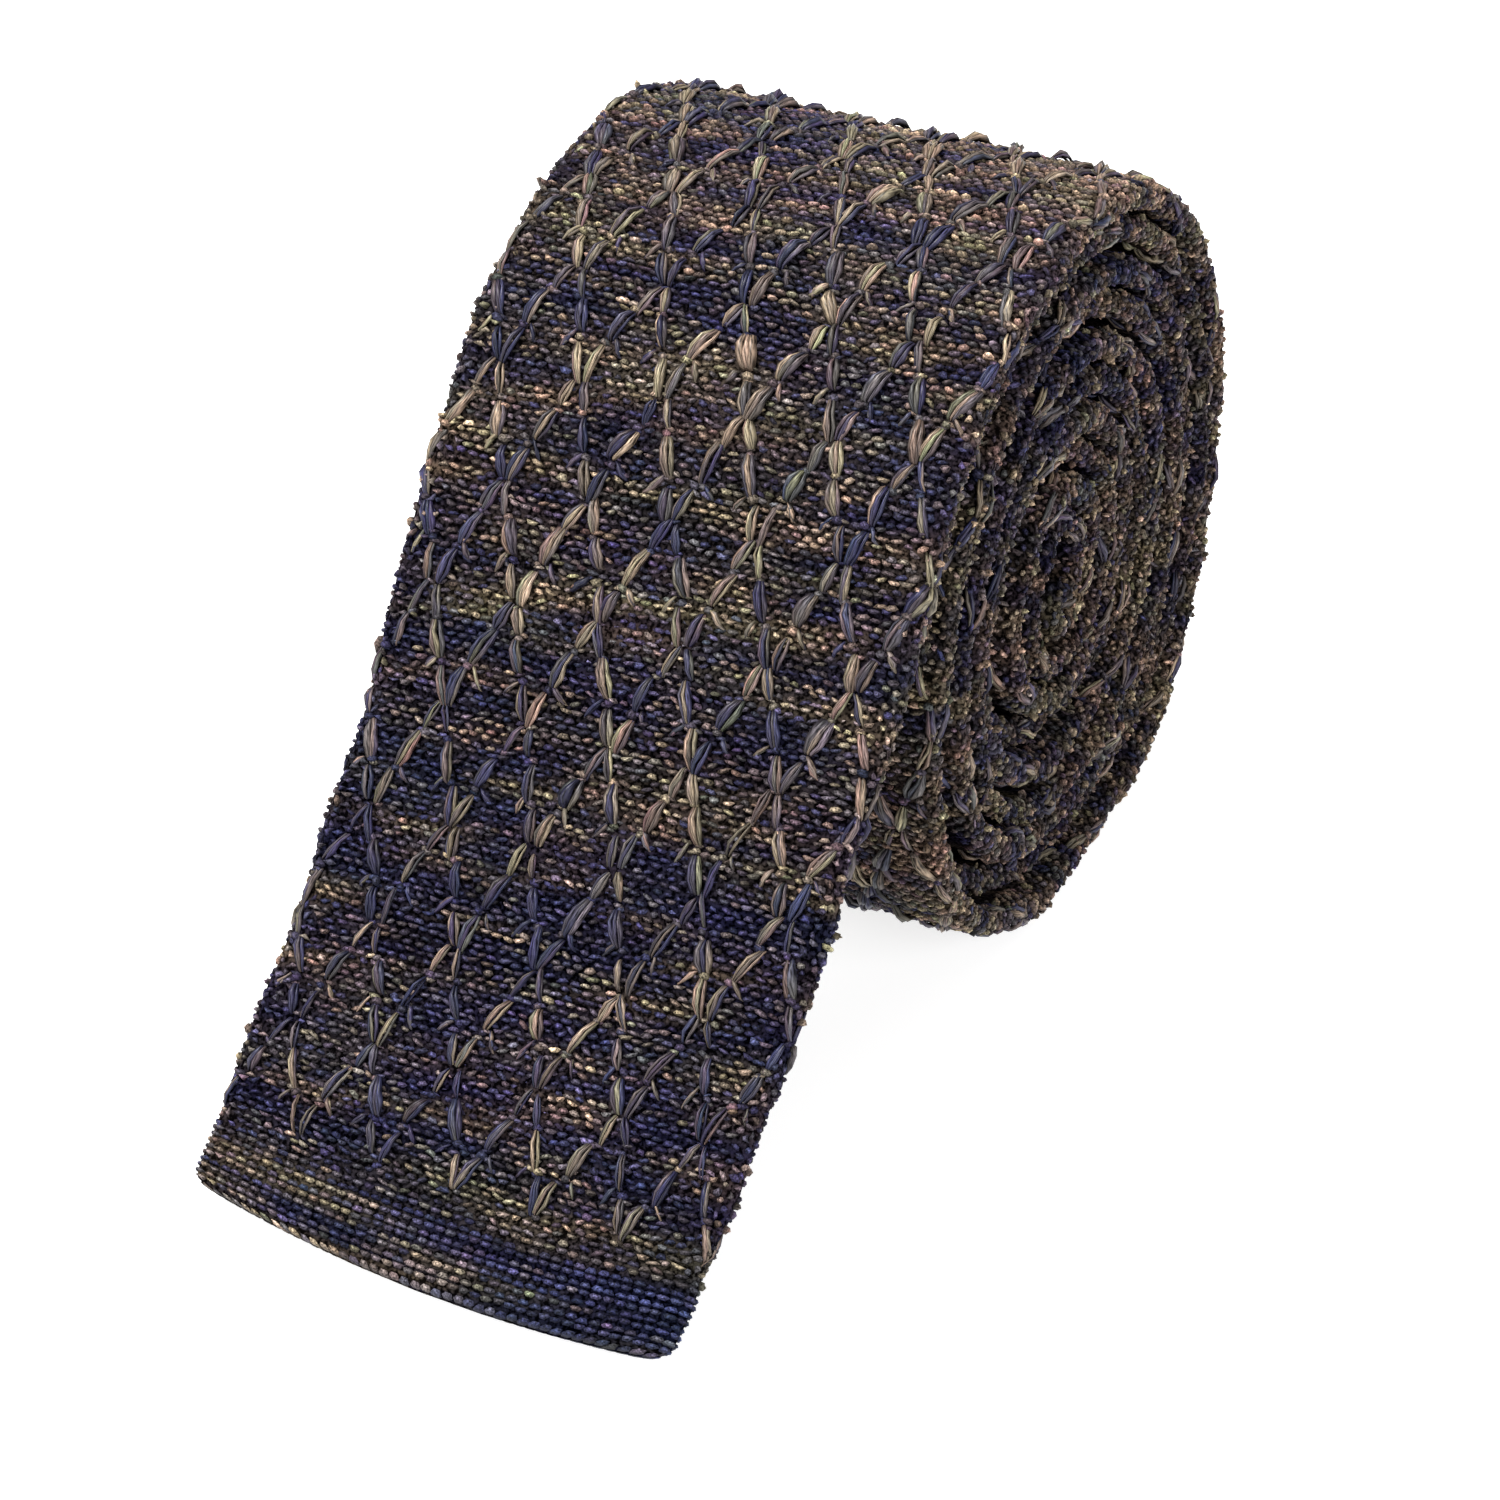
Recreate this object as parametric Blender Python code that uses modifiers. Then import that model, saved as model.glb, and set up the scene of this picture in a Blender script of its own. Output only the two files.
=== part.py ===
"""Knit tie with square ends: a knitted tube pressed flat, folded in half and rolled up from
the fold. The wide blade is the outer layer, and its end comes off the top of the roll and
slants down to the surface in front of it.

Metres, +Z up. X runs along the roll, which is also the width of the tie. The free end lies
towards -Y. The origin is on the surface, at the middle of the bottom of the object's box.
"""

import math

import bmesh
import bpy
import numpy as np
from mathutils import Matrix

# The tie
BLADE_WIDTH = 0.056
HEM_WIDTH = 0.0545  # the hem draws the end of the blade in a little
TAIL_WIDTH = 0.052
KNIT_THICKNESS = 0.0035  # the two knitted walls of the flattened tube together
EDGE_DEPTH = 0.0011  # the rounding of its edges reaches this far in
EDGE_SHARE = 0.36  # how much of the thickness is left at the very edge
HEM_CORNER = 0.003
HEM_BOW = 0.0034  # how far the left corner of the hem stays behind its foremost point

# The roll
ROLL_RADIUS = 0.0434
CORE_RADIUS = 0.0046  # from the middle of the roll to the middle of the folded end
LAYER_GAP = 0.0003
LIFT_ANGLE = math.radians(52)  # where the blade leaves the roll, forward of the top
REST_ANGLE = math.radians(10)  # half of the arc that is pressed flat on the surface
REST_BLEND = math.radians(20)  # from here on the arc is round again
TAIL_PAST = math.radians(22)  # how far the tail's end reaches past the lifting place

# The free end
FREE_REACH = 0.0558  # from the front of the roll to the tip
TIP_SLOPE = math.radians(32)
TIP_SWAY = 0.0018  # the tip lies this far to the left
LEAVE_PULL = 0.22  # shares of the free length that keep the direction of each end
TIP_PULL = 0.42

# How finely it is divided
STEPS_PER_TURN = 36
FREE_STEPS = 13
FOLD_STEPS = 8
MIDDLE_STEPS = 3

# The roll sags. Columns: direction in degrees from the top towards the back, bulge outwards
# as a share of the roll's radius.
SAG = (
    (0, 0.048),
    (60, 0.016),
    (95, 0.044),
    (135, 0.078),
    (180, 0.012),
    (225, 0.046),
    (270, 0.034),
    (310, 0.044),
)

# The turns aren't quite in line. Columns: turns wound in from the lifting place, shift of the
# blade and shift of the tail to the right, as shares of the blade's width.
DRIFT = (
    (0.0, 0.000, 0.000),
    (0.7, 0.004, -0.004),
    (1.6, -0.006, 0.024),
    (2.6, 0.005, -0.030),
    (3.6, -0.004, 0.016),
    (4.4, 0.000, 0.000),
)

KNIT_COLOUR = (0.19, 0.18, 0.21, 1.0)

# Worked out from the sizes above
LAYER = KNIT_THICKNESS + LAYER_GAP
PAIR_PITCH = 2 * LAYER
PAIR_RADIUS = ROLL_RADIUS - KNIT_THICKNESS - LAYER_GAP / 2
TURNS = (PAIR_RADIUS - CORE_RADIUS) / PAIR_PITCH


def eased(x, xs, ys):
    """Goes from each value of ys to the next along half a cosine wave."""
    i = np.clip(np.searchsorted(xs, x, side="right") - 1, 0, len(xs) - 2)
    share = np.clip((x - xs[i]) / (xs[i + 1] - xs[i]), 0, 1)
    return ys[i] + (ys[i + 1] - ys[i]) * (1 - np.cos(np.pi * share)) / 2


def bulge(direction):
    """How far the roll stands out in a direction, in radians from the top towards the back."""
    table = np.array(SAG)
    xs = np.append(table[:, 0], 360.0)
    ys = np.append(table[:, 1], table[0, 1])
    return eased(np.degrees(direction) % 360.0, xs, ys)


def sagged(radius, direction):
    """A wound radius with the roll's sag, which fades towards the core."""
    return radius * (1 + bulge(direction) * radius / PAIR_RADIUS)


def pair_radius(wound):
    """Radius of the line between blade and tail after winding in by an angle. Each turn is a
    step of two layers smaller, and is flat where the roll lies on the surface."""
    direction = wound - LIFT_ANGLE
    round_one = sagged(PAIR_RADIUS - PAIR_PITCH * wound / (2 * np.pi), direction)
    turn = np.round((direction - np.pi) / (2 * np.pi))
    lowest = np.pi + 2 * np.pi * turn
    flat = sagged(PAIR_RADIUS - PAIR_PITCH * (lowest + LIFT_ANGLE) / (2 * np.pi), np.pi)
    off = np.abs(direction - lowest)
    blend = eased(off, np.array([REST_ANGLE * 1.01, REST_BLEND]), np.array([0.0, 1.0]))
    chord = flat / np.cos(np.minimum(off, REST_BLEND))
    return chord + (round_one - chord) * blend


def axis_height():
    """Height of the roll's middle, so that its outer layer just lies on the surface."""
    lowest = np.array([np.pi + LIFT_ANGLE])
    return float(pair_radius(lowest)[0]) + LAYER_GAP / 2 + KNIT_THICKNESS


def pair_line(wound):
    """Points (y, z) between blade and tail."""
    radius = pair_radius(wound)
    direction = wound - LIFT_ANGLE
    y = radius * np.sin(direction)
    z = axis_height() + radius * np.cos(direction)
    return np.stack([y, z], axis=1)


def offset(line, distance):
    """The line moved sideways by a distance, with mitred corners. Positive is outwards."""
    along = np.diff(line, axis=0)
    along /= np.linalg.norm(along, axis=1, keepdims=True)
    side = np.stack([-along[:, 1], along[:, 0]], axis=1)
    before = np.vstack([side[:1], side])
    after = np.vstack([side, side[-1:]])
    middle = before + after
    middle /= np.linalg.norm(middle, axis=1, keepdims=True)
    stretch = 1 / np.sum(middle * before, axis=1, keepdims=True)
    return line + distance * middle * stretch


def fold(blade_end, tail_end):
    """Half a circle from the blade's inner end round to the tail's, open at both."""
    middle = (blade_end + tail_end) / 2
    out = blade_end - middle
    onward = np.array([out[1], -out[0]])
    angle = np.linspace(0, np.pi, FOLD_STEPS + 1)[1:-1, None]
    return middle + out * np.cos(angle) + onward * np.sin(angle)


def free_end(lift, direction):
    """Cubic curve from the tip up to the lifting place."""
    front = float(pair_radius(np.array([1.5 * np.pi + LIFT_ANGLE]))[0]) + LAYER
    tip = np.array([-front - FREE_REACH, KNIT_THICKNESS / 2 * math.cos(TIP_SLOPE)])
    landing = np.array([math.cos(TIP_SLOPE), math.sin(TIP_SLOPE)])
    length = np.linalg.norm(lift - tip)
    near_tip = tip + landing * length * TIP_PULL
    near_roll = lift + direction * length * LEAVE_PULL
    t = np.linspace(0, 1, FREE_STEPS + 1)[:-1, None] ** 1.3
    return (
        (1 - t) ** 3 * tip
        + 3 * (1 - t) ** 2 * t * near_tip
        + 3 * (1 - t) * t**2 * near_roll
        + t**3 * lift
    )


def directions_between(first, last):
    """Both ends and, between them, every whole step round the roll, so that the rows of all
    layers lie on the same lines out from its middle."""
    step = 2 * np.pi / STEPS_PER_TURN
    whole = np.arange(math.ceil(first / step), math.floor(last / step) + 1) * step
    whole = whole[(whole > first + step / 3) & (whole < last - step / 3)]
    return np.concatenate([[first], whole, [last]])


def rows():
    """The middle line of the whole tie from the hem to the end of the tail: points (y, z),
    the turns wound in at each, whether it belongs to the tail, and the count of free rows."""
    core = TURNS * 2 * np.pi - LIFT_ANGLE
    blade_wound = directions_between(-LIFT_ANGLE, core) + LIFT_ANGLE
    tail_wound = directions_between(-LIFT_ANGLE - TAIL_PAST, core) + LIFT_ANGLE
    blade = offset(pair_line(blade_wound), LAYER / 2)
    tail = offset(pair_line(tail_wound), -LAYER / 2)
    leaving = (blade[0] - blade[1]) / np.linalg.norm(blade[0] - blade[1])
    free = free_end(blade[0], leaving)
    round_the_fold = fold(blade[-1], tail[-1])
    line = np.vstack([free, blade, round_the_fold, tail[::-1]])
    no_turns = np.zeros(len(free))
    all_turns = np.full(len(round_the_fold), TURNS)
    full_turn = 2 * np.pi
    inwards = [no_turns, blade_wound / full_turn, all_turns, tail_wound[::-1] / full_turn]
    is_tail = np.arange(len(line)) >= len(line) - len(tail)
    return line, np.concatenate(inwards), is_tail, len(free)


def lay_out(line, inwards, is_tail, free_rows):
    """Half width and sideways shift of every row."""
    table = np.array(DRIFT)
    blade_shift = eased(inwards, table[:, 0], table[:, 1])
    tail_shift = eased(inwards, table[:, 0], table[:, 2])
    shift = np.where(is_tail, tail_shift, blade_shift) * BLADE_WIDTH
    from_hem = np.append(0, np.cumsum(np.linalg.norm(np.diff(line, axis=0), axis=1)))
    free = np.clip(1 - from_hem / from_hem[free_rows], 0, 1)
    shift = shift - TIP_SWAY * free**1.5
    narrowing = np.clip(inwards / TURNS, 0, 1)
    blade_width = BLADE_WIDTH + (TAIL_WIDTH - BLADE_WIDTH) * narrowing
    blade_width += (HEM_WIDTH - BLADE_WIDTH) * free
    width = np.where(is_tail, TAIL_WIDTH, blade_width)
    to_corner = np.clip(HEM_CORNER - from_hem, 0, HEM_CORNER)
    half = width / 2 - HEM_CORNER + np.sqrt(HEM_CORNER**2 - to_corner**2)
    return half, shift, from_hem


def with_end_rows(line, inwards, is_tail, free_rows):
    """Adds the rows that round off the hem's corners and both ends' edges."""
    along = (line[1] - line[0]) / np.linalg.norm(line[1] - line[0])
    back = (line[-2] - line[-1]) / np.linalg.norm(line[-2] - line[-1])
    depths = np.array([EDGE_DEPTH, max(HEM_CORNER, 1.5 * EDGE_DEPTH)])[:, None]
    near_hem = line[0] + along * depths
    near_end = line[-1] + back * EDGE_DEPTH
    line = np.vstack([line[:1], near_hem, line[1:-1], near_end, line[-1:]])
    inwards = np.concatenate([np.zeros(2), inwards, inwards[-1:]])
    is_tail = np.concatenate([np.zeros(2, bool), is_tail, [True]])
    return line, inwards, is_tail, free_rows + 2


def hem_lag(u):
    """Share of the hem's bow at a place across the width, from -1 on the left to 1."""
    foremost = 0.35
    return ((u - foremost) / (1 + foremost)) ** 2


def tie_mesh():
    """A flat grid, one row for each place along the tie, rolled up onto the middle line. Its
    vertex layer holds the share of the thickness, which is less along the rim."""
    line, inwards, is_tail, free_rows = with_end_rows(*rows())
    half, shift, from_hem = lay_out(line, inwards, is_tail, free_rows)
    bow_fades = np.clip(1 - from_hem / (8 * HEM_BOW), 0, 1) ** 2
    last_row, last_column = len(line) - 1, MIDDLE_STEPS + 2
    mesh = bpy.data.meshes.new("tie")
    bm = bmesh.new()
    bmesh.ops.create_grid(bm, x_segments=last_row, y_segments=last_column, size=0.5)
    share = bm.verts.layers.deform.verify()
    for vert in bm.verts:
        row = round((vert.co.x + 0.5) * last_row)
        column = round((vert.co.y + 0.5) * last_column)
        middle = np.clip((column - 1) / MIDDLE_STEPS, 0, 1) * 2 - 1
        u = middle * (1 - EDGE_DEPTH / half[row])
        u = -1.0 if column == 0 else 1.0 if column == last_column else u
        at_rim = row in (0, last_row) or column in (0, last_column)
        s = from_hem[row] + HEM_BOW * hem_lag(u) * bow_fades[row]
        y = np.interp(s, from_hem, line[:, 0])
        z = np.interp(s, from_hem, line[:, 1])
        vert.co = (shift[row] + u * half[row], y, z)
        vert[share][0] = EDGE_SHARE if at_rim else 1.0
    bm.to_mesh(mesh)
    bm.free()
    return mesh


def knit_material():
    """Marled silk yarn in blue and sand, which reads as grey mauve from far away."""
    material = bpy.data.materials.new("marled_knit")
    material.use_nodes = True
    shader = material.node_tree.nodes["Principled BSDF"]
    shader.inputs["Base Color"].default_value = KNIT_COLOUR
    shader.inputs["Roughness"].default_value = 0.75
    shader.inputs["Metallic"].default_value = 0.0
    return material


def stand_on_origin(tie):
    """Moves the mesh so that the origin is at the middle of the bottom of its box."""
    bpy.context.view_layer.update()
    shaped = tie.evaluated_get(bpy.context.evaluated_depsgraph_get())
    corners = np.array([corner[:] for corner in shaped.bound_box])
    low, high = corners.min(axis=0), corners.max(axis=0)
    tie.data.transform(Matrix.Translation((-(low[0] + high[0]) / 2, -(low[1] + high[1]) / 2, 0)))


def make_tie(collection):
    """The tie is one piece: the middle surface, thickened to both sides, thinner at its rim."""
    tie = bpy.data.objects.new("tie", tie_mesh())
    collection.objects.link(tie)
    tie.data.materials.append(knit_material())
    thickness = tie.vertex_groups.new(name="thickness")
    wall = tie.modifiers.new("two knitted walls", "SOLIDIFY")
    wall.thickness = KNIT_THICKNESS
    wall.offset = 0.0
    wall.use_even_offset = True
    wall.vertex_group = thickness.name
    stand_on_origin(tie)
    return tie


def main():
    for old in list(bpy.data.objects):
        bpy.data.objects.remove(old)
    collection = bpy.data.collections.new("knit_tie")
    bpy.context.scene.collection.children.link(collection)
    make_tie(collection)


main()
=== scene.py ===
"""Looks of a rolled knit tie: its stitches, its marled yarn, a pale floor and soft light.

The cloth is a flat knitted tube. A place on it is given by three numbers: `share`, the way round
the tube from -1 to 1 with 0 in the middle of its outer face; `along`, metres from the hem; and
`up`, metres above the cloth. `across` is `share` in metres. `on_cloth` turns a place into a
point, and every stitch is shaped in those numbers.
"""

import math

import bpy
import numpy as np
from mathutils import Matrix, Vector

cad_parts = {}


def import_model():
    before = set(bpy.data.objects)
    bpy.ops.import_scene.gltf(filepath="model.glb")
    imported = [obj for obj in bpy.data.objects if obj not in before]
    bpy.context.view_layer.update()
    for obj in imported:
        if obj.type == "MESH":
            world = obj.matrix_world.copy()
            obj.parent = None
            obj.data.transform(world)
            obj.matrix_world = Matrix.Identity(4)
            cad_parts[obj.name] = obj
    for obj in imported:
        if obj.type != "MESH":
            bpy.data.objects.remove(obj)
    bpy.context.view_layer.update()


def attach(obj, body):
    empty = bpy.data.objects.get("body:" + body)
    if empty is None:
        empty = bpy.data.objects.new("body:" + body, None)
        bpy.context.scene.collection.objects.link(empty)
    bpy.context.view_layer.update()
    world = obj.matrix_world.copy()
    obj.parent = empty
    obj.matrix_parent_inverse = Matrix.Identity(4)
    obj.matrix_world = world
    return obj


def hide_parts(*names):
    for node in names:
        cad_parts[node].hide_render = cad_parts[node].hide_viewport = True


# The tie, in metres
BLADE_WIDTH = 0.056
HEM_WIDTH = 0.0545
TAIL_WIDTH = 0.052
LAYER_THICKNESS = 0.0035
LAYER_GAP = 0.0003
HEM_CORNER = 0.003
HEM_BOW = 0.0034  # how far the left corner of the hem stays behind its foremost point
HEM_FOREMOST = 0.35  # that point, as a share of half the width to the right of the middle
GROUND_HALF = 0.00130  # half of the thickness under the stitches
EDGE_REACH = 0.0021  # the folded edges are round over this width
EDGE_ARC = math.pi * math.sqrt((EDGE_REACH**2 + GROUND_HALF**2) / 2)
FLAT_HALF = BLADE_WIDTH / 2 - EDGE_REACH
ROUND_HALF = 2 * FLAT_HALF + EDGE_ARC  # half the way round the blade
END_TAPER = 0.0016  # the cloth thins over this length at its ends

# The roll
ROLL_RADIUS = 0.0434
CORE_RADIUS = 0.0046
LIFT_ANGLE = math.radians(52)
REST_ANGLE = math.radians(10)
REST_BLEND = math.radians(20)
TAIL_PAST = math.radians(22)
FREE_REACH = 0.0558
TIP_SLOPE = math.radians(32)
TIP_SWAY = 0.0018
LEAVE_PULL = 0.22
TIP_PULL = 0.42
LAYER = LAYER_THICKNESS + LAYER_GAP
PAIR_PITCH = 2 * LAYER
PAIR_RADIUS = ROLL_RADIUS - LAYER_THICKNESS - LAYER_GAP / 2
TURNS = (PAIR_RADIUS - CORE_RADIUS) / PAIR_PITCH

# Direction in degrees from the top towards the back, and bulge as a share of the radius
SAG = np.array(
    [
        (0, 0.048),
        (60, 0.016),
        (95, 0.044),
        (135, 0.078),
        (180, 0.012),
        (225, 0.046),
        (270, 0.034),
        (310, 0.044),
        (360, 0.048),
    ]
)

# Turns wound in, and the shift of the blade and of the tail as shares of the blade's width
DRIFT = np.array(
    [
        (0.00, 0.000, 0.010),
        (0.39, 0.004, 0.030),
        (0.92, 0.004, -0.035),
        (1.39, -0.002, 0.030),
        (1.89, -0.002, 0.020),
        (2.39, 0.006, 0.018),
        (2.89, -0.012, -0.055),
        (3.39, 0.004, 0.012),
        (3.90, 0.000, 0.012),
        (4.40, 0.000, 0.000),
    ]
)

# The blade's edges are fuller in the roll, as shares of the thickness, from this turn on
FULLER_OUTWARDS = 0.3
FULLER_INWARDS = 0.6
FULLER_FROM = 0.12

# The knit
WALES = 88  # stitches in a course, all round the tube
WALE = 2 * ROUND_HALF / WALES
COURSE = 0.00078
HEM_COURSE = 0.00084
HEM_DEPTH = 0.0080
FIRST_COURSE = 0.0004
LAST_GAP = 0.0005  # from the last course to the end of the tail
NODE_FIRST = 0.0106  # the first row of crossings of the raised stitches
NODE_STEP = 0.0116
NODE_PITCH = 0.00935
OUTER_END = 0.366  # the outer face is covered from here on
FRONT_END, TOP_END = 0.14, 0.25  # the outer face's stitches are in pieces that end here
UNDER_PAST = 0.012  # the inner face has stitches this far into the roll
EDGE_ZONE = 0.0013  # stitches this near a folded edge belong to it
RAISED_ZONE = 0.001  # and raised ones this near
PRESSED = 0.0003  # stitches this near the floor are pressed flat
CUSHION = 0.00014  # rise of the cloth between the crossings, and its dip at them
CUSHION_START = 0.004  # they grow to that over this length above the hem

# The middle of the roll, on the floor, as seen from the origin of the part
ROLL_PLACE = np.array([0.000492, 0.02598, 0.0])

# Dyed yarn, dark to light: place on the scale, then linear red, green and blue
YARN = np.array(
    [
        (0.00, 0.0105, 0.0110, 0.0330),
        (0.28, 0.0155, 0.0150, 0.0355),
        (0.38, 0.0230, 0.0198, 0.0395),
        (0.47, 0.0320, 0.0265, 0.0350),
        (0.56, 0.0450, 0.0360, 0.0410),
        (0.66, 0.0660, 0.0510, 0.0460),
        (0.80, 0.1060, 0.0790, 0.0590),
        (1.00, 0.1560, 0.1150, 0.0770),
    ]
)
TINT = np.array([0.05, -0.05, 0.02])  # from olive, below nought, to mauve, in shares of each colour

# Patches of noise: strength, width across and length along, and where in the noise they start
UNEVEN_PATCH = (0.0006, 0.011, 0.013, 60, 20)
TINT_PATCH = (2.8, 0.0070, 0.0029, 210, 230)
DYE_PATCH = (0.55, 0.0085, 3.1 * COURSE, 31, 5)
DYE_RUN = (0.55, 0.0060, COURSE, 70, 90)
DYE_WIDE = (0.24, 0.030, 0.022, 12, 44)
HEM_PATCH = (0.3, 0.0085, 3.1 * COURSE, 31, 5)
HEM_RUN = (0.7, 0.013, COURSE, 170, 190)
SHADE_RUN = (1.0, 0.009, COURSE, 250, 270)

# Waves of the folded edges: strength, length, and their row in the noise
EDGE_WAVES = ((0.0009, 0.0058, 10.5), (0.0005, 0.0017, 40.5))

# A dome's foot and ring: reach lengthwise and widthwise, and height. Then the dome's painted light,
# as shares of the yarn's colour: painted shade at the foot's sides, less at its ends, a little on
# the ring, and a painted highlight at the top
FOOT = (1.0, 1.0, -0.3)
RING = (0.80, 0.76, 0.62)
DOME_PAINTED_LIGHT = (0.06, 0.40, 0.92, 2.5)

# Small stitches at the hem, on a folded edge and on a flat face: half their length in wales,
# half their width, and how uneven they are
SMALL = np.array([(0.56, 0.00034, 0.4), (0.36, 0.00032, 1.6), (0.52, 0.00029, 1.0)])

# Long stitches of one slanting line between two crossings, in millimetres from the lower one:
# across and along at the start and at the end, width, and rise
RAISED = np.array(
    [
        (0.34, -0.2, 1.30, 4.0, 1.50, 0.90),
        (1.62, 4.3, 3.10, 8.5, 1.75, 0.95),
        (3.25, 8.3, 4.42, 11.9, 1.25, 0.70),
        (2.05, 4.8, 3.35, 2.6, 1.15, 0.40),
    ]
)

RAISED_JITTER = 0.00027  # how far their ends are from those places
SLIM_SHARE, SLIM_START, SLIM_LENGTH = 0.74, 0.02, 0.05  # width near the hem, and where it grows
PLY_ALONE, PLY_SHARED = 0.85, 0.37  # width of a ply as a share of the stitch's
PLY_SPREAD = 0.66  # from the first to the last ply, in the same measure
SINK = 0.0003  # the ends are this deep in the ground
EDGE_RUN, EDGE_LOWER = 0.0020, 0.58  # over this width, towards an edge, they lose that much rise
STRAND_UV = 0.004  # length of cloth to one unit of the strand's UV map

# Small loops on that line, in millimetres: across and along, half their length and width, rise
KNOTS = np.array([(1.42, 4.25, 0.62, 0.46, 0.62), (3.15, 8.35, 0.58, 0.44, 0.52)])

# The camera: its direction, lens and frame are those of the photo
AZIMUTH, ELEVATION = math.radians(25.99), math.radians(32.24)
AIM = (0.00049, 0.00598, 0.035)
DISTANCE = 0.512
LENS, SENSOR = 117.05, 36.0
SHIFT = (-0.0066, -0.0717)

# Lamps: name, place, width, power and colour
LAMPS = (
    ("key", (-0.18, -0.03, 0.77), 0.30, 9.6, (1.0, 0.98, 0.95)),
    ("left_fill", (-0.6, -0.7, 0.45), 0.5, 6.9, (1.0, 1.0, 1.0)),
    ("right_fill", (0.7, -0.25, 0.35), 0.5, 4.5, (1.0, 1.0, 1.0)),
)
LAMP_AIM = (0, 0, 0.03)
SURROUND = 0.42
FLOOR_HALF = 3.0
FLOOR_GREY, FLOOR_GLOW = 0.60, 0.72


def eased(x, xs, ys):
    """Goes from each value of ys to the next along half a cosine wave."""
    i = np.clip(np.searchsorted(xs, x, side="right") - 1, 0, len(xs) - 2)
    share = np.clip((x - xs[i]) / (xs[i + 1] - xs[i]), 0, 1)
    return ys[i] + (ys[i + 1] - ys[i]) * (1 - np.cos(np.pi * share)) / 2


def sagged(radius, direction):
    """Radius times one plus the bulge in that direction, which fades towards the core."""
    bulge = eased(np.degrees(direction) % 360.0, SAG[:, 0], SAG[:, 1])
    return radius * (1 + bulge * radius / PAIR_RADIUS)


def pair_radius(wound):
    """Radius of the line between blade and tail: it loses two layers a turn, and follows a
    straight chord where the roll lies on the surface."""
    direction = wound - LIFT_ANGLE
    round_one = sagged(PAIR_RADIUS - PAIR_PITCH * wound / (2 * np.pi), direction)
    lowest = np.pi + 2 * np.pi * np.round((direction - np.pi) / (2 * np.pi))
    flat = sagged(PAIR_RADIUS - PAIR_PITCH * (lowest + LIFT_ANGLE) / (2 * np.pi), np.pi)
    off = np.abs(direction - lowest)
    blend = eased(off, np.array([REST_ANGLE, REST_BLEND]), np.array([0.0, 1.0]))
    chord = flat / np.cos(np.minimum(off, REST_BLEND))
    return chord + (round_one - chord) * blend


AXIS_HEIGHT = float(pair_radius(np.array([np.pi + LIFT_ANGLE]))[0]) + LAYER_THICKNESS + LAYER_GAP / 2


def wound_line(wound, outwards):
    """Points at the pair's radius round the roll's axis, moved outwards along the normal."""
    radius = pair_radius(wound)
    direction = wound - LIFT_ANGLE
    line = np.stack([radius * np.sin(direction), AXIS_HEIGHT + radius * np.cos(direction)], 1)
    step = np.gradient(line, axis=0)
    step /= np.linalg.norm(step, axis=1, keepdims=True)
    return line + outwards * np.stack([-step[:, 1], step[:, 0]], 1)


def free_end(lift, direction):
    """Cubic curve from the tip on the floor up to the place where the blade leaves the roll."""
    front = float(pair_radius(np.array([1.5 * np.pi + LIFT_ANGLE]))[0]) + LAYER
    tip = np.array([-front - FREE_REACH, LAYER_THICKNESS / 2 * math.cos(TIP_SLOPE)])
    landing = np.array([math.cos(TIP_SLOPE), math.sin(TIP_SLOPE)])
    length = np.linalg.norm(lift - tip)
    near_tip = tip + landing * length * TIP_PULL
    near_roll = lift + direction * length * LEAVE_PULL
    t = np.linspace(0, 1, 120)[:-1, None]
    return (
        (1 - t) ** 3 * tip
        + 3 * (1 - t) ** 2 * t * near_tip
        + 3 * (1 - t) * t**2 * near_roll
        + t**3 * lift
    )


def middle_line():
    """The middle of the cloth from the hem to the end of the tail, every half millimetre:
    distance, y, z, the two parts of its normal, the turns wound in, 1 on the tail, and from 1 at
    the hem to 0 where the blade meets the roll."""
    last = TURNS * 2 * np.pi
    blade_wound = np.linspace(0, last, 1700)
    tail_wound = np.linspace(-TAIL_PAST, last, 1700)
    blade = wound_line(blade_wound, LAYER / 2)
    tail = wound_line(tail_wound, -LAYER / 2)
    leaving = (blade[0] - blade[1]) / np.linalg.norm(blade[0] - blade[1])
    free = free_end(blade[0], leaving)
    middle = (blade[-1] + tail[-1]) / 2
    out = blade[-1] - middle
    turn = np.linspace(0, np.pi, 14)[1:-1, None]
    fold = middle + out * np.cos(turn) + np.array([out[1], -out[0]]) * np.sin(turn)
    line = np.vstack([free, blade, fold, tail[::-1]])
    zeros, full = np.zeros(len(free)), np.full(len(fold), last)
    wound = np.concatenate([zeros, blade_wound, full, tail_wound[::-1]]) / (2 * np.pi)
    is_tail = (np.arange(len(line)) >= len(line) - len(tail)).astype(float)
    raw = np.append(0, np.cumsum(np.linalg.norm(np.diff(line, axis=0), axis=1)))
    along = np.linspace(0, raw[-1], int(raw[-1] / 0.0005))
    y, z = np.interp(along, raw, line[:, 0]), np.interp(along, raw, line[:, 1])
    dy, dz = np.gradient(y), np.gradient(z)
    size = np.hypot(dy, dz)
    lift_at = raw[len(free)]
    return {
        "along": along,
        "y": y,
        "z": z,
        "ny": -dz / size,
        "nz": dy / size,
        "wound": np.interp(along, raw, wound),
        "tail": np.interp(along, raw, is_tail),
        "free": np.clip(1 - along / lift_at, 0, 1),
        "length": raw[-1],
        "lift_at": lift_at,
    }


LINE = middle_line()
NOISE = np.random.default_rng(7).random((256, 256))


def on_line(along, *names):
    """Values of the middle line at a distance from the hem, one array for each name."""
    return [np.interp(along, LINE["along"], LINE[name]) for name in names]


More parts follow.
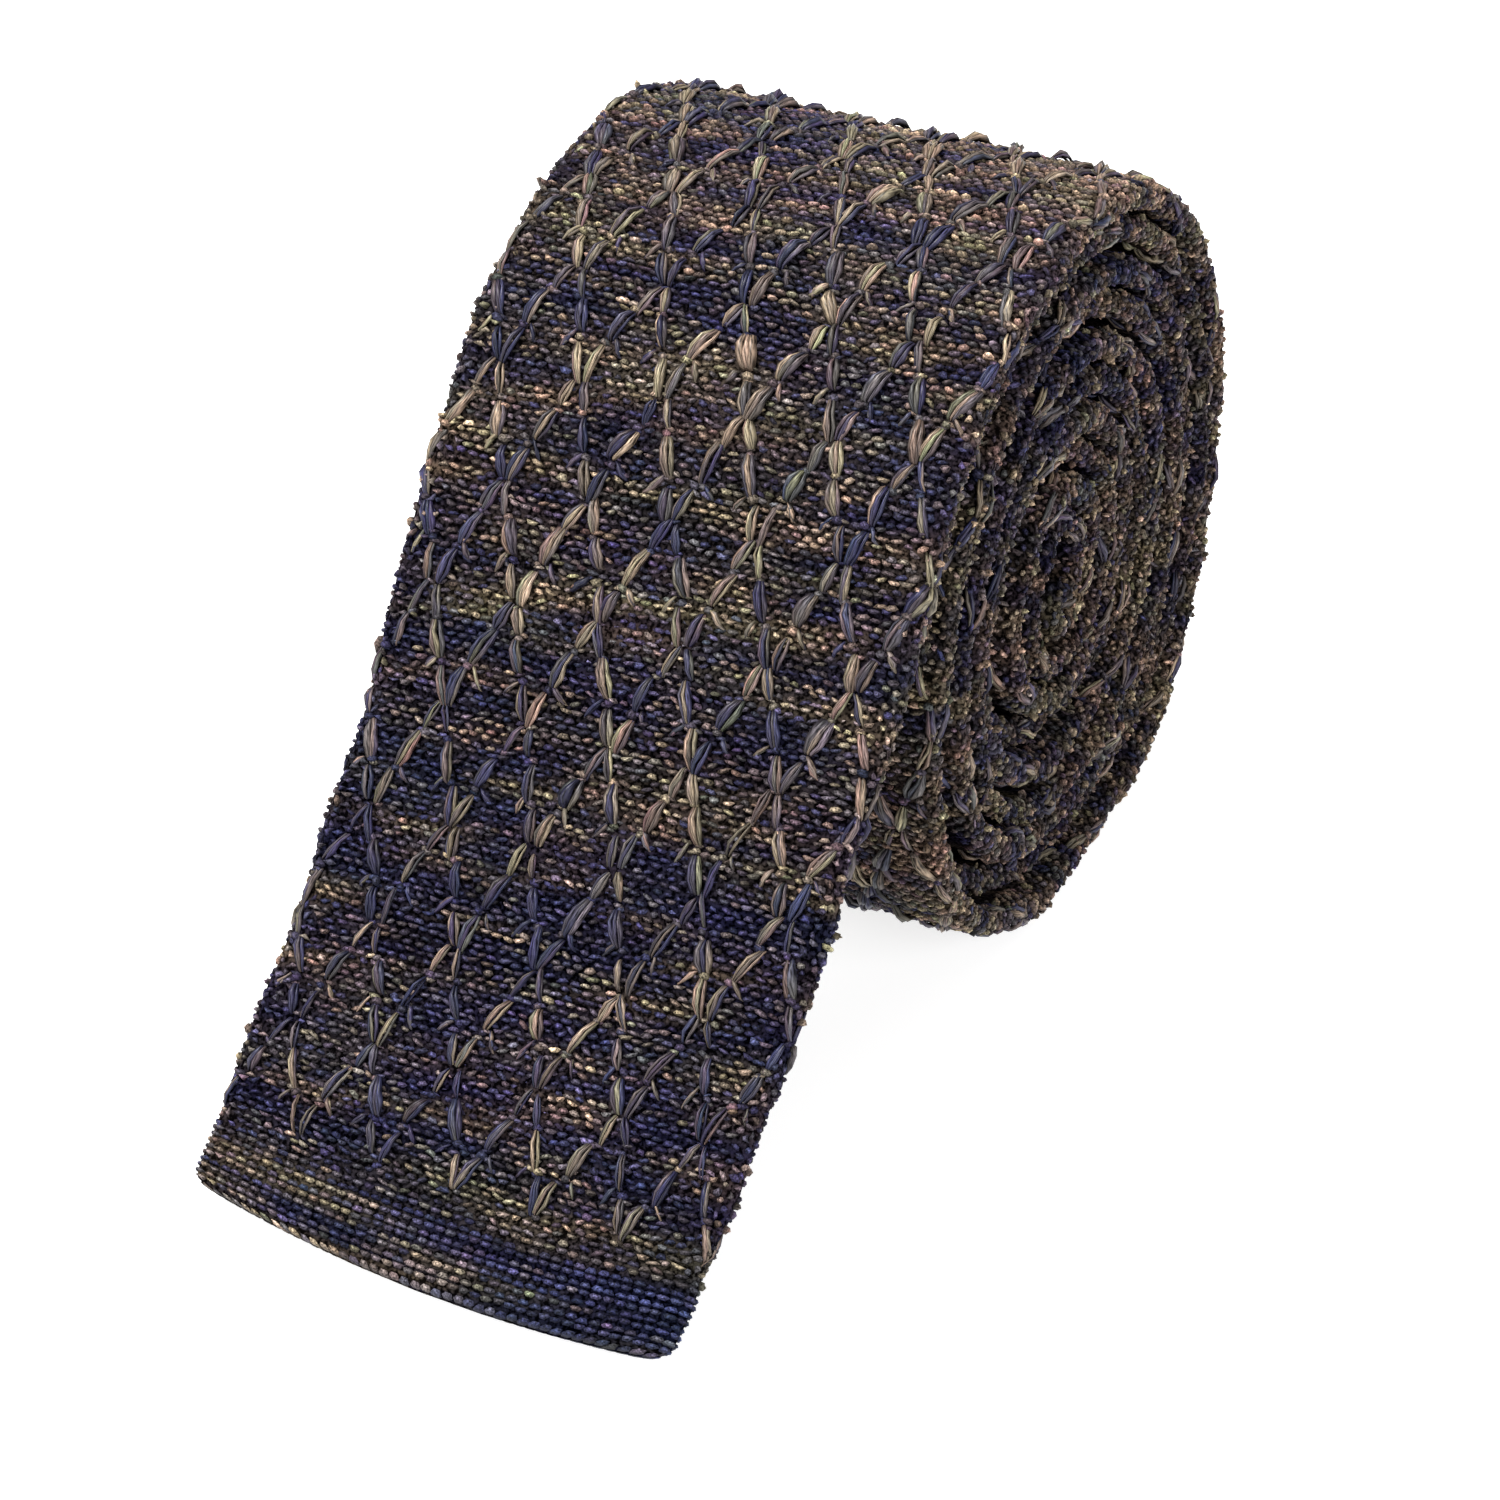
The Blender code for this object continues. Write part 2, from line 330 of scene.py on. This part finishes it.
def noise(x, y):
    """Smooth noise from 0 to 1: random values on a grid of whole numbers, eased in between."""
    i, j = np.floor(x), np.floor(y)
    fx, fy = x - i, y - j
    fx, fy = fx * fx * (3 - 2 * fx), fy * fy * (3 - 2 * fy)
    i, j = i.astype(int) % 256, j.astype(int) % 256
    k, m = (i + 1) % 256, (j + 1) % 256
    low = NOISE[i, j] * (1 - fx) + NOISE[k, j] * fx
    high = NOISE[i, m] * (1 - fx) + NOISE[k, m] * fx
    return low * (1 - fy) + high * fy


def patches(across, along, patch):
    """Noise on either side of nought, in patches of a given strength, width and length."""
    strength, width, length, x, y = patch
    return strength * (noise(across / width + x, along / length + y) - 0.5)


def half_width(along, side):
    """Half of the cloth's width: blade or tail, drawn in at the hem and rounded at its corner,
    and a little wavy, as knitted edges are."""
    wound, tail, free = on_line(along, "wound", "tail", "free")
    blade = BLADE_WIDTH + (TAIL_WIDTH - BLADE_WIDTH) * np.clip(wound / TURNS, 0, 1)
    blade = blade + (HEM_WIDTH - BLADE_WIDTH) * free
    half = (blade + (TAIL_WIDTH - blade) * tail) / 2
    to_corner = np.clip(HEM_CORNER - along, 0, HEM_CORNER)
    half = half - HEM_CORNER + np.sqrt(HEM_CORNER**2 - to_corner**2)
    for strength, length, row in EDGE_WAVES:
        half = half + strength * (noise(along / length, row + 7 * side) - 0.5)
    return half


def relief(across, along):
    """The cloth puffs up between the crossings of the raised stitches and dips at them, as the
    product of two cosines, and it is a little uneven over longer stretches."""
    column = np.cos(2 * np.pi * across / NODE_PITCH)
    row = np.cos(np.pi * (along - NODE_FIRST) / NODE_STEP)
    above_hem = np.clip((along - HEM_DEPTH) / CUSHION_START, 0, 1)
    return (patches(across, along, UNEVEN_PATCH) - CUSHION * column * row) * above_hem


def on_cloth(share, along, up):
    """A point of the cloth. Across, the tube is a flat outer face, a half ellipse round the
    edge and a flat inner face; that outline is carried along the middle line. In the roll the
    half ellipse of the blade is fuller, by the square of the sine of the way round it. The right
    part of the hem is foremost, and the rest stays behind it as a parabola. Stitches that would
    go below the floor are pressed flat on it, by an exponential curve."""
    share, along, up = np.broadcast_arrays(share, along, up)
    side = np.where(share < 0, -1.0, 1.0)
    half = half_width(along, side)
    to_end = np.minimum(along, LINE["length"] - along)
    closing = np.clip(1 - to_end / END_TAPER, 0, 0.985)
    thick = GROUND_HALF * np.sqrt(1 - closing**2)
    flat = half - EDGE_REACH
    way = np.abs(share) * (2 * flat + EDGE_ARC)
    turn = np.pi * np.clip((way - flat) / EDGE_ARC, 0, 1)
    back = np.clip(way - flat - EDGE_ARC, 0, None)
    x = np.minimum(way, flat) + EDGE_REACH * np.sin(turn) - back
    wound, tail = on_line(along, "wound", "tail")
    fuller = np.where(turn < np.pi / 2, FULLER_OUTWARDS, FULLER_INWARDS) * np.sin(turn) ** 2
    fuller = fuller * np.clip(wound / FULLER_FROM, 0, 1) * (1 - tail)
    n = thick * np.cos(turn) * (1 + fuller)
    out_x, out_n = np.sin(turn) / EDGE_REACH, np.cos(turn) / GROUND_HALF
    size = np.hypot(out_x, out_n)
    up = up + relief(share * ROUND_HALF, along)
    x, n = x + up * out_x / size, n + up * out_n / size
    off_foremost = (side * x / half - HEM_FOREMOST) / (1 + HEM_FOREMOST)
    lag = HEM_BOW * off_foremost**2 * np.clip(1 - along / (8 * HEM_BOW), 0, 1) ** 2
    at = np.clip(along + lag, 0, LINE["length"])
    y, z, ny, nz, wound, tail, free = on_line(at, "y", "z", "ny", "nz", "wound", "tail", "free")
    blade_shift = eased(wound, DRIFT[:, 0], DRIFT[:, 1])
    tail_shift = eased(wound, DRIFT[:, 0], DRIFT[:, 2])
    shift = (blade_shift + (tail_shift - blade_shift) * tail) * BLADE_WIDTH - TIP_SWAY * free**1.5
    before = along + lag - at
    size = np.hypot(ny, nz)
    ny, nz = ny / size, nz / size
    height = z + n * nz - before * ny
    pressed = PRESSED * np.exp(np.minimum(height / PRESSED - 1, 0))
    height = np.where(height < PRESSED, pressed, height)
    return np.stack([side * x + shift, y + n * ny + before * nz, height], -1)


def as_mesh(name, points, faces, finish, colours, uv=None):
    """Puts arrays of points and of four-sided faces into a smooth mesh object, with the yarn's
    colour at each point."""
    points = np.ascontiguousarray(points.reshape(-1, 3) + ROLL_PLACE, np.float32)
    faces = np.asarray(faces, np.int32)
    mesh = bpy.data.meshes.new(name)
    mesh.vertices.add(len(points))
    mesh.vertices.foreach_set("co", points.ravel())
    mesh.loops.add(faces.size)
    mesh.loops.foreach_set("vertex_index", faces.ravel())
    mesh.polygons.add(len(faces))
    mesh.polygons.foreach_set("loop_start", np.arange(len(faces), dtype=np.int32) * faces.shape[1])
    mesh.update(calc_edges=True)
    mesh.shade_smooth()
    layer = mesh.color_attributes.new("yarn", "FLOAT_COLOR", "POINT")
    rgba = np.concatenate([colours.reshape(-1, 3), np.ones((len(points), 1))], 1)
    layer.data.foreach_set("color", rgba.astype(np.float32).ravel())
    if uv is not None:
        layer = mesh.uv_layers.new(name="strand")
        layer.uv.foreach_set("vector", uv.reshape(-1, 2)[faces.ravel()].astype(np.float32).ravel())
    mesh.materials.append(finish)
    thing = bpy.data.objects.new(name, mesh)
    bpy.context.scene.collection.objects.link(thing)
    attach(thing, "root")
    return thing


def dyed(scale, tint):
    """Colours of the yarn at places on its scale from dark to light, and tinted."""
    plain = np.stack([np.interp(scale, YARN[:, 0], YARN[:, c]) for c in (1, 2, 3)], -1)
    return plain * np.exp(tint[..., None] * TINT)


def tint_at(share, along):
    """Tint of the yarn: it changes every few stitches along a course and every few courses, and
    the hem is less mauve."""
    hem = np.clip(1.6 - 0.8 * along / HEM_DEPTH, 0, 1)
    return patches(share * ROUND_HALF, along, TINT_PATCH) - 0.9 * hem


def dye_at(share, along):
    """Place on the yarn's colour scale. The colour runs along a course for some stitches, and
    a few courses share it; it gets lighter up the slanting end. The hem is mostly blue, and tan
    at its left and at its lip."""
    across = share * ROUND_HALF
    scale = 0.50 + 0.10 * np.clip((along - 0.045) / 0.085, -0.4, 1)
    scale = scale + sum(patches(across, along, patch) for patch in (DYE_PATCH, DYE_RUN, DYE_WIDE))
    striped = 0.38 - 0.14 * np.clip(2 * across / BLADE_WIDTH, -1, 1)
    striped = striped + patches(across, along, HEM_RUN) + patches(across, along, HEM_PATCH)
    lip = 0.24 * np.clip(2 - along / HEM_COURSE, 0, 1) * np.clip(1 - across / 0.020, 0.2, 1)
    hem = np.clip(4 - 3.6 * along / HEM_DEPTH, 0, 1)
    return scale + hem * (striped + lip - scale)


def on_outside(across, reach):
    """Whether a place is on the outer face, a reach or more from the folded edges."""
    return np.abs(across) <= FLAT_HALF - reach


def on_inside(across, reach):
    """Whether a place is on the inner face, a reach or more from the folded edges."""
    return np.abs(across) >= FLAT_HALF + EDGE_ARC + reach


def near_edge(across, reach):
    """Whether a place is on one of the folded edges or within a reach of it."""
    return ~(on_outside(across, reach) | on_inside(across, reach))


def on_tail(along):
    """Whether a place is on the tail, from the middle of the fold on."""
    return on_line(along, "tail")[0] > 0.5


def ring_points(rings, sides):
    """Numbers of the points on each ring but the last, and of their next neighbours round it."""
    first = np.arange(rings - 1)[:, None] * sides
    return first + np.arange(sides), first + (np.arange(sides) + 1) % sides


def bumps(share, along, size, rise, bend, tilt, sides):
    """Small domes, one for each stitch: a foot, a narrower ring and a top point. The foot's
    outline is an ellipse, bent like the arc of a loop and turned by its tilt. The last array is
    painted light, as shares of its yarn's colour at each point: painted shade at the foot, where
    the neighbours shade it, less at its ends, and a painted highlight at the top."""
    angle = np.arange(sides) * 2 * np.pi / sides
    levels = [
        np.stack([a * np.cos(angle), b * np.sin(angle), np.full(sides, height)], -1)
        for a, b, height in (FOOT, RING)
    ]
    shape = np.concatenate(levels + [[[0.0, 0.0, 1.0]]])[None]
    a = shape[..., 0] * size[:, :1]
    s = (shape[..., 1] + bend[:, None] * shape[..., 0] ** 2) * size[:, 1:]
    cos, sin = np.cos(tilt)[:, None], np.sin(tilt)[:, None]
    a, s = a * cos - s * sin, a * sin + s * cos
    up = shape[..., 2] * rise[:, None]
    points = on_cloth(share[:, None] + a / ROUND_HALF, along[:, None] + s, up)
    i, j = ring_points(2, sides)
    walls = np.stack([i, j, j + sides, i + sides], -1).reshape(-1, 4)
    k = np.arange(0, sides, 2)
    top = np.stack([k, k + 1, (k + 2) % sides, np.full(len(k), sides)], 1) + sides
    # Painted light of each point: painted shade round the foot, a painted highlight at the top
    sideways, endways, ring, painted_top_highlight = DOME_PAINTED_LIGHT
    foot = sideways + endways * np.cos(angle) ** 2
    return points, np.concatenate([walls, top]), np.concatenate([foot, np.full(sides, ring), [painted_top_highlight]])


def repeated(faces, count, stride):
    """The faces of one stitch, again for each of many stitches."""
    return (faces[None] + (np.arange(count) * stride)[:, None, None]).reshape(-1, faces.shape[1])


def courses():
    """Where the stitches of the ground are: courses along the tie, and in each of them the
    wales round the tube, with every other course half a wale further on, or less at the hem."""
    hem = np.arange(FIRST_COURSE, HEM_DEPTH, HEM_COURSE)
    rest = np.arange(hem[-1] + HEM_COURSE, LINE["length"] - LAST_GAP, COURSE)
    along = np.concatenate([hem, rest])
    row = np.repeat(np.arange(len(along)), WALES)
    wale = np.tile(np.arange(WALES), len(along))
    offset = np.where(along[row] < HEM_DEPTH, 0.12, 0.5) * (row % 2)
    share = (wale + offset + 0.25) / WALES * 2 - 1
    return share, along[row], row


def ground(name, chosen, sides, material, rng):
    """A piece of the ground: a dome for each chosen stitch, a little uneven in place and size.
    Every other course bends the other way, and each has its own brightness."""
    share, along, row = courses()
    keep = chosen(share * ROUND_HALF, along)
    share, along, row = share[keep], along[keep], row[keep]
    n, across = len(share), share * ROUND_HALF
    hem, rim = along < HEM_DEPTH, near_edge(across, 0)
    long, wide, loose = SMALL[np.where(hem, 0, np.where(rim, 1, 2))].T
    jitter = rng.normal(size=(n, 8))
    tint = tint_at(share, along) + 0.8 * jitter[:, 7]
    # Painted shade: the tail's stitches, recessed in the roll, are darkened to 0.8; those of the hem
    # and of the first 6 cm are lighter
    bright = np.where(on_tail(along), 0.8, np.where(hem, 1.2, 0.98 + 0.06 * (along < 0.06)))
    bright = bright * np.exp(patches(across, along, SHADE_RUN) + 0.32 * jitter[:, 1])
    colours = dyed(dye_at(share, along) + 0.12 * jitter[:, 0], tint) * bright[:, None]
    share = share + 0.09 * WALE / ROUND_HALF * jitter[:, 2] * loose
    along = along + 0.00006 * jitter[:, 3] * loose
    uneven = np.exp(0.14 * jitter[:, 4:6] * loose[:, None])
    size = np.stack([long * WALE, wide], 1) * uneven
    rise = np.where(rim, 0.00032, 0.00034) * np.exp(0.24 * jitter[:, 0] * loose)
    bend = np.where(row % 2, 0.5, -0.5) + 0.4 * jitter[:, 3] * loose
    tilt = 0.20 * jitter[:, 6] * loose**3
    points, faces, shade = bumps(share, along, size, rise, bend, tilt, sides)
    colours = colours[:, None] * shade[:, None]
    return as_mesh(name, points, repeated(faces, n, len(shade)), material, colours)


def strands(start, end, width, rise, bow, rough, wander, sides, rings):
    """Long stitches: tubes with pointed ends, fullest in the middle, from start to end on the
    cloth in metres across and along. They come up out of the ground and go back into it, and
    stay lower near the folded edges. Bow and wander move their rings sideways, and rough makes
    them thicker or thinner. The last array is painted light, as shares of the yarn's colour at
    each point: painted shade underneath and towards the ends, and a painted highlight on top."""
    t = (1 - np.cos(np.pi * np.linspace(0, 1, rings))) / 2
    arch = np.sin(np.pi * t)
    reach = end - start
    length = np.linalg.norm(reach, axis=1)[:, None]
    aside = np.stack([-reach[:, 1], reach[:, 0]], 1) / length
    sideways = (bow[:, None] + wander) * arch
    centre = start[:, None] + reach[:, None] * t[:, None] + aside[:, None] * sideways[..., None]
    over_edge = np.clip((np.abs(centre[..., 0]) - FLAT_HALF + EDGE_RUN) / EDGE_RUN, 0, 1)
    rise = rise[:, None] * (1 - EDGE_LOWER * over_edge)
    height = (rise + SINK) * arch**0.5 - SINK
    angle = np.arange(sides) * 2 * np.pi / sides - np.pi / 2
    radius = ((width / 2)[:, None] * arch**0.35 * rough)[..., None]
    flat = centre[:, :, None] + aside[:, None, None] * (radius * np.cos(angle))[..., None]
    up = height[..., None] + radius * np.sin(angle)
    points = on_cloth(flat[..., 0] / ROUND_HALF, flat[..., 1], up)
    i, j = ring_points(rings, sides)
    faces = np.stack([i, i + sides, j + sides, j], -1).reshape(-1, 4)
    round_it = np.broadcast_to(np.arange(sides) / sides, up.shape)
    lengthwise = np.broadcast_to((t * length / STRAND_UV)[..., None], up.shape)
    uv = np.stack([round_it, lengthwise], -1).reshape(len(start), -1, 2)
    # Painted light round each ply: painted shade underneath, a painted highlight on top, and painted
    # shade towards the ends
    painted_light_round = 0.05 + 0.70 * (1 + np.sin(angle)) ** 1.3
    shade = painted_light_round[None] * (0.35 + 0.65 * arch)[:, None]
    return points.reshape(len(start), -1, 3), faces, uv, shade.ravel()


def crossings():
    """Places of the crossings on the cloth, across and along: rows a step apart, every other
    row half a pitch further on. On the inner face the pitch is a little wider, so that twelve
    columns go round the tube."""
    row = np.arange(int((LINE["length"] - NODE_FIRST) / NODE_STEP) - 1)
    row, column = np.meshgrid(row, np.arange(-6, 6))
    outer, last, seam = 3.2, 6.5, 1.095 * ROUND_HALF
    places = [-last, -outer, outer, last]
    across = np.interp(
        column + 0.5 * (row % 2), places, [-seam, -outer * NODE_PITCH, outer * NODE_PITCH, seam]
    )
    return across.ravel(), (NODE_FIRST + row * NODE_STEP).ravel()


def raised(name, chosen, parts, plies, sides, rings, material, rng, edge=False):
    """A piece of the raised pattern: the long stitches of each chosen slanting line, each of
    one to three plies that part in the middle. They are slimmer near the hem, and don't bow on
    the folded edges."""
    across, along = crossings()
    keep = chosen(across, along)
    across, along = across[keep], along[keep]
    n = len(across)
    ply_width = PLY_SHARED if plies > 1 else PLY_ALONE
    piles = {"start": [], "end": [], "width": [], "rise": [], "bow": [], "scale": []}
    for side in (-1, 1):
        for x0, s0, x1, s1, width, rise in RAISED[list(parts)]:
            jitter = rng.normal(size=(n, 8))
            start = np.stack([across + side * x0 * 1e-3, along + s0 * 1e-3], 1)
            end = np.stack([across + side * x1 * 1e-3, along + s1 * 1e-3], 1)
            start, end = start + RAISED_JITTER * jitter[:, :2], end + RAISED_JITTER * jitter[:, 2:4]
            grown = np.clip((start[:, 1] - SLIM_START) / SLIM_LENGTH, 0, 1)
            slim = SLIM_SHARE + (1 - SLIM_SHARE) * grown
            wide = slim * width * 1e-3 * np.exp(0.16 * jitter[:, 4])
            ground_dye = dye_at(start[:, 0] / ROUND_HALF, start[:, 1])
            scale = 0.56 + 0.75 * (ground_dye - 0.5) + 0.18 * jitter[:, 5]
            for ply in np.linspace(-0.5, 0.5, plies) if plies > 1 else [0.0]:
                spread = ply * wide * PLY_SPREAD
                aside = np.stack([spread * 0.35, np.zeros(n)], 1)
                high = rise * 1e-3 * (1.1 - 0.6 * abs(ply)) * np.exp(0.10 * jitter[:, 6])
                piles["start"].append(start + aside)
                piles["end"].append(end + aside)
                piles["width"].append(wide * ply_width * np.exp(0.12 * rng.normal(size=n)))
                piles["rise"].append(high * np.exp(0.10 * rng.normal(size=n)))
                piles["bow"].append(-spread * 0.5 + 0.00006 * rng.normal(size=n))
                piles["scale"].append(scale + 0.20 * rng.normal(size=n))
    piles = {k: np.concatenate(v) for k, v in piles.items()}
    if edge:
        piles["bow"] = np.zeros_like(piles["bow"])
    scale = piles.pop("scale")[:, None]
    count = len(scale)
    piles["rough"] = np.exp(0.15 * rng.normal(size=(count, rings)))
    piles["wander"] = 0.00007 * rng.normal(size=(count, rings))
    scale = scale + 0.16 * rng.normal(size=(count, 1)) * np.linspace(-1, 1, rings)
    tint = 1.2 * rng.normal(size=(count, 1))
    bright = 0.70 * np.exp(0.26 * rng.normal(size=(count, 1, 1)))
    points, faces, uv, shade = strands(**piles, sides=sides, rings=rings)
    colours = np.repeat(bright * dyed(scale, tint) ** 0.88, sides, 1) * shade[:, None]
    return as_mesh(name, points, repeated(faces, count, len(shade)), material, colours, uv)


def knots(name, chosen, sides, material, rng):
    """The small loops that hold the long stitches down, as domes between them."""
    across, along = crossings()
    keep = chosen(across, along)
    across, along = across[keep], along[keep]
    shares, places, sizes, rises = [], [], [], []
    for side in (-1, 1):
        for x, s, a, b, rise in KNOTS:
            jitter = rng.normal(size=(len(across), 4))
            shares.append((across + side * x * 1e-3 + 0.0001 * jitter[:, 0]) / ROUND_HALF)
            places.append(along + s * 1e-3 + 0.0001 * jitter[:, 1])
            sizes.append(np.array([a, b]) * 1e-3 * np.exp(0.12 * jitter[:, 2:3]))
            rises.append(rise * 1e-3 * np.exp(0.15 * jitter[:, 3]))
    share, place, size, rise = (np.concatenate(v) for v in (shares, places, sizes, rises))
    n = len(share)
    tint = tint_at(share, place) + rng.normal(size=n)
    scale = dye_at(share, place) + 0.12 * rng.normal(size=n)
    colours = dyed(scale, tint) * np.exp(0.2 * rng.normal(size=(n, 1)))
    bend, tilt = np.full(n, -0.3), 0.4 * rng.normal(size=n)
    points, faces, shade = bumps(share, place, size, rise, bend, tilt, sides)
    colours = colours[:, None] * shade[:, None]
    return as_mesh(name, points, repeated(faces, n, len(shade)), material, colours)


def cloth_body(material):
    """The cloth under the stitches: its outline round the tube, carried from the hem to the
    end of the tail, and closed at both ends. Its yarn colour is darkened as painted shade, as its
    stitches shade it; it is darkened less on the folded edges, where they lie open, and a little
    more on the tail's edges than on the blade's, as they lie deeper in the roll."""
    length = LINE["length"]
    tip = np.array([0, 0.0003, 0.0008, 0.0016])
    rows = np.concatenate([tip, np.arange(0.003, length - 0.002, 0.0016), length - tip[::-1]])
    flat, arc = FLAT_HALF / ROUND_HALF, EDGE_ARC / ROUND_HALF
    face = np.linspace(0, flat, 4)
    half = np.concatenate([face, flat + arc * np.arange(1, 5) / 5, 1 - face[::-1]])
    share = np.concatenate([-half[:0:-1], half[:-1]])
    points = on_cloth(share[None], rows[:, None], 0.0)
    n = len(share)
    i, j = ring_points(len(rows), n)
    walls = np.stack([i, j, j + n, i + n], -1).reshape(-1, 4)
    k = np.arange(n // 2 - 1)
    cap = np.stack([k, k + 1, n - 2 - k, n - 1 - k], 1)
    faces = np.concatenate([walls, cap[:, ::-1], cap + (len(rows) - 1) * n])
    on_rim = near_edge((share * ROUND_HALF)[None], -0.0012)
    # Painted shade: the share of the yarn's colour left on the cloth under the stitches
    body_painted_shade = np.where(on_rim, np.where(on_tail(rows), 0.45, 0.55)[:, None], 0.26)
    colours = dyed(dye_at(share[None], rows[:, None]), tint_at(share[None], rows[:, None]))
    return as_mesh("cloth", points, faces, material, colours * body_painted_shade[..., None])


def yarn_finish(name, roughness, gloss, texture, scale, detail, middle, tones):
    """Dyed silk yarn: the stitch's own colour, made darker and lighter by fine fibres. They are
    noise on the piece's own coordinates, stretched from either side of its middle to two tones."""
    material = bpy.data.materials.new(name)
    material.use_nodes = True
    nodes, links = material.node_tree.nodes, material.node_tree.links
    shader = nodes["Principled BSDF"]
    shader.inputs["Roughness"].default_value = roughness
    shader.inputs["Specular IOR Level"].default_value = gloss
    dye = nodes.new("ShaderNodeAttribute")
    dye.attribute_name = "yarn"
    place = nodes.new("ShaderNodeTexCoord")
    spread = nodes.new("ShaderNodeMapping")
    spread.inputs["Scale"].default_value = scale
    fibre = nodes.new("ShaderNodeTexNoise")
    fibre.inputs["Scale"].default_value = 1.0
    fibre.inputs["Detail"].default_value = detail
    tone = nodes.new("ShaderNodeMapRange")
    tone.inputs["From Min"].default_value, tone.inputs["From Max"].default_value = middle
    tone.inputs["To Min"].default_value, tone.inputs["To Max"].default_value = tones
    shade = nodes.new("ShaderNodeVectorMath")
    shade.operation = "SCALE"
    links.new(place.outputs[texture], spread.inputs["Vector"])
    links.new(spread.outputs["Vector"], fibre.inputs["Vector"])
    links.new(fibre.outputs["Fac"], tone.inputs["Value"])
    links.new(dye.outputs["Color"], shade.inputs[0])
    links.new(tone.outputs["Result"], shade.inputs["Scale"])
    links.new(shade.outputs["Vector"], shader.inputs["Base Color"])
    return material


def camera():
    """Looks down at the tie from its right front, with a long lens."""
    flat = math.cos(ELEVATION)
    towards = (math.sin(AZIMUTH) * flat, -math.cos(AZIMUTH) * flat, math.sin(ELEVATION))
    back = Vector(towards)
    data = bpy.data.cameras.new("camera")
    data.lens, data.sensor_width = LENS, SENSOR
    data.shift_x, data.shift_y = SHIFT
    thing = bpy.data.objects.new("camera", data)
    thing.location = Vector(AIM) + back * DISTANCE
    thing.rotation_euler = (-back).to_track_quat("-Z", "Y").to_euler()
    bpy.context.scene.collection.objects.link(thing)
    bpy.context.scene.camera = thing


def floor():
    """A wide pale square that gives off some light of its own, so that its shadows are faint."""
    r = FLOOR_HALF
    mesh = bpy.data.meshes.new("floor")
    mesh.from_pydata([(-r, -r, 0), (r, -r, 0), (r, r, 0), (-r, r, 0)], [], [(0, 1, 2, 3)])
    pale = bpy.data.materials.new("pale_floor")
    pale.use_nodes = True
    shader = pale.node_tree.nodes["Principled BSDF"]
    shader.inputs["Base Color"].default_value = (FLOOR_GREY, FLOOR_GREY, FLOOR_GREY, 1)
    shader.inputs["Roughness"].default_value = 0.8
    shader.inputs["Emission Color"].default_value = (1, 1, 1, 1)
    shader.inputs["Emission Strength"].default_value = FLOOR_GLOW
    mesh.materials.append(pale)
    thing = bpy.data.objects.new("floor", mesh)
    bpy.context.scene.collection.objects.link(thing)


def studio():
    """The floor, a bright even surround and soft round lamps from above and both sides."""
    floor()
    world = bpy.data.worlds.new("surround")
    world.use_nodes = True
    world.node_tree.nodes["Background"].inputs["Color"].default_value = (1, 1, 1, 1)
    world.node_tree.nodes["Background"].inputs["Strength"].default_value = SURROUND
    bpy.context.scene.world = world
    for name, place, size, power, colour in LAMPS:
        data = bpy.data.lights.new(name, "AREA")
        data.shape, data.size, data.energy, data.color = "DISK", size, power, colour
        thing = bpy.data.objects.new(name, data)
        thing.location = place
        thing.rotation_euler = (Vector(LAMP_AIM) - Vector(place)).to_track_quat("-Z", "Y").to_euler()
        bpy.context.scene.collection.objects.link(thing)
    bpy.context.scene.view_settings.view_transform = "Standard"


def small_stitches(material, rng):
    """The ground in six pieces. Each is given by what it holds: a test of across and along."""

    def outer(across, along):
        return on_outside(across, EDGE_ZONE) & (along < OUTER_END)

    def rim(across, along):
        return near_edge(across, EDGE_ZONE) & (~on_tail(along) | near_edge(across, 0))

    def under(across, along):
        return on_inside(across, EDGE_ZONE) & (along < LINE["lift_at"] + UNDER_PAST)

    pieces = (
        ("ground_front", lambda a, s: outer(a, s) & (s < FRONT_END), 6),
        ("ground_top", lambda a, s: outer(a, s) & (s >= FRONT_END) & (s < TOP_END), 6),
        ("ground_back", lambda a, s: outer(a, s) & (s >= TOP_END), 6),
        ("ground_under", under, 6),
        ("edge_right", lambda a, s: rim(a, s) & (a > 0), 6),
        ("edge_left", lambda a, s: rim(a, s) & (a < 0), 4),
    )
    return [ground(name, chosen, sides, material, rng) for name, chosen, sides in pieces]


def long_stitches(material, knot_material, rng):
    """The raised pattern on the outer face, under the slanting end and on the folded edges, and
    the small loops that hold it down."""

    def outer(across, along):
        return on_outside(across, RAISED_ZONE) & (along < OUTER_END)

    def under(across, along):
        return on_inside(across, RAISED_ZONE) & (along < LINE["lift_at"])

    def rims(across, along):
        return near_edge(across, RAISED_ZONE)

    def held(across, along):
        return (np.abs(across) < FLAT_HALF + EDGE_ARC) & (along < OUTER_END)

    return [
        raised("raised_outer", outer, (0, 1, 2, 3), 3, 4, 6, material, rng),
        raised("raised_under", under, (0, 1, 2), 1, 5, 6, material, rng),
        raised("raised_edges", rims, (0, 1, 2), 2, 4, 6, material, rng, edge=True),
        knots("knots", held, 6, knot_material, rng),
    ]


def main():
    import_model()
    camera()
    studio()
    rng = np.random.default_rng(20)
    fibres = (3.0, (0.35, 0.65), (0.15, 1.85))
    ground_yarn = yarn_finish("ground_yarn", 0.5, 0.08, "Object", (4600, 4600, 4600), *fibres)
    long_yarn = yarn_finish("long_yarn", 0.40, 0.20, "UV", (14.0, 3.5, 1.0), *fibres)
    specks = (2.0, (0.42, 0.66), (0.1, 2.2))
    inside = yarn_finish("inside_of_knit", 0.9, 0.0, "Object", (2400, 2400, 2400), *specks)
    body = cloth_body(inside)
    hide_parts("tie")
    made = small_stitches(ground_yarn, rng) + long_stitches(long_yarn, ground_yarn, rng)


main()
